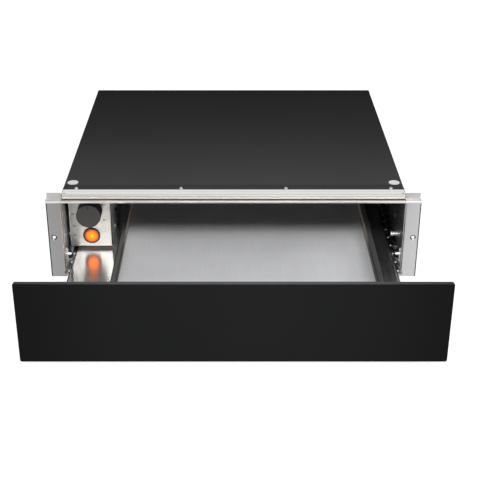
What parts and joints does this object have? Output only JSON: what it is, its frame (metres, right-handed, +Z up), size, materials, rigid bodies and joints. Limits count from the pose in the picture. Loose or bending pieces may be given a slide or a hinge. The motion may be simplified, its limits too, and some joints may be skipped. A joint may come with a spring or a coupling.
{
  "type": "built-in warming drawer",
  "caption": "Built-in warming drawer: black case with stainless mounting ears, sliding heated tray behind a handleless black glass front, inside control panel.",
  "frame": {"origin": "on the underside of the base pan, at the centre line, in the front plane of the mounting ears", "axes": "+X to the right across the front, +Y back into the cabinet, +Z up"},
  "size_m": [0.595, 0.79, 0.1456],
  "materials": {
    "black_glass": "satin black glass",
    "black_paint": "fine-textured black paint",
    "stainless": "brushed stainless steel",
    "satin_trim": "satin trim",
    "polished_stainless": "polished stainless steel",
    "brushed_plate": "fine brushed steel",
    "galvanised": "galvanised sheet",
    "zinc": "zinc-plated steel",
    "bright_zinc": "bright zinc plate",
    "dark_steel": "stainless sheet",
    "black_rubber": "rubber",
    "black_plastic": "moulded plastic",
    "white_plastic": "moulded plastic",
    "knob_plastic": "dark soft-touch plastic",
    "amber_lens": "illuminated amber lens",
    "heater_sheath": "heat-tinted sheath"
  },
  "bodies": {
    "chassis": {"base_pan": "galvanised", "right_side_panel": "galvanised", "left_side_panel": "galvanised", "rear_panel": "galvanised", "top_cover": "black_paint", "cover_screws": "bright_zinc", "right_post": "stainless", "left_post": "stainless", "top_bar": "stainless", "top_rail": "satin_trim", "slide_outer_right": "zinc", "slide_outer_left": "zinc", "slide_stop_right": "bright_zinc", "slide_stop_left": "bright_zinc", "guide_pins": "bright_zinc", "buffers": "black_rubber", "latch_body": "black_plastic", "control_fascia": "stainless", "control_box": "dark_steel", "control_box_screws": "bright_zinc", "thermostat": "black_plastic", "switch_body": "black_plastic", "fan_frame": "black_plastic", "heater_element": "heater_sheath", "thermal_cutout": "bright_zinc", "cable_gland": "black_plastic", "terminal_block": "white_plastic"},
    "drawer": {"front_glass": "black_glass", "front_backing": "black_paint", "drawer_front_wall": "stainless", "drawer_floor": "polished_stainless", "warming_plate": "brushed_plate", "left_bay_wall": "stainless", "right_bay_wall": "stainless", "rear_bay_wall": "stainless", "front_screws": "bright_zinc", "corner_brackets": "galvanised", "latch_striker": "bright_zinc", "slide_inner_right": "zinc", "slide_inner_left": "zinc"},
    "ball_cages": {"ball_cage_right": "zinc", "ball_cage_left": "zinc"},
    "knob": {"knob": "knob_plastic", "knob_shaft": "bright_zinc"},
    "power_button": {"power_button": "amber_lens"},
    "latch_plunger": {"latch_plunger": "black_plastic"},
    "fan_impeller": {"fan_impeller": "black_plastic"}
  },
  "joints": [
    {"name": "drawer_slide", "type": "slide", "parent": "chassis", "child": "drawer", "axis": [0, -1, 0], "range_m": [-0.253, 0.087]},
    {"name": "cage_slide", "type": "slide", "parent": "chassis", "child": "ball_cages", "axis": [0, -1, 0], "range_m": [-0.1265, 0.0435]},
    {"name": "knob_turn", "type": "hinge", "parent": "chassis", "child": "knob", "pos_m": [-0.231, 0.035, 0.10195], "axis": [0, 1, 0], "range_deg": [0, 270]},
    {"name": "button_push", "type": "slide", "parent": "chassis", "child": "power_button", "axis": [0, 1, 0], "range_m": [0, 0.0025], "stiffness_N_per_m": 400, "springref_m": -0.002},
    {"name": "latch_push", "type": "slide", "parent": "chassis", "child": "latch_plunger", "axis": [0, 1, 0], "range_m": [0, 0.003], "stiffness_N_per_m": 900, "springref_m": -0.004},
    {"name": "fan_spin", "type": "hinge", "parent": "chassis", "child": "fan_impeller", "pos_m": [-0.23, 0.262, 0.0788], "axis": [1, 0, 0], "continuous": true}
  ],
  "couplings": [
    {"joint": "cage_slide", "follows": "drawer_slide", "ratio": 0.5}
  ]
}
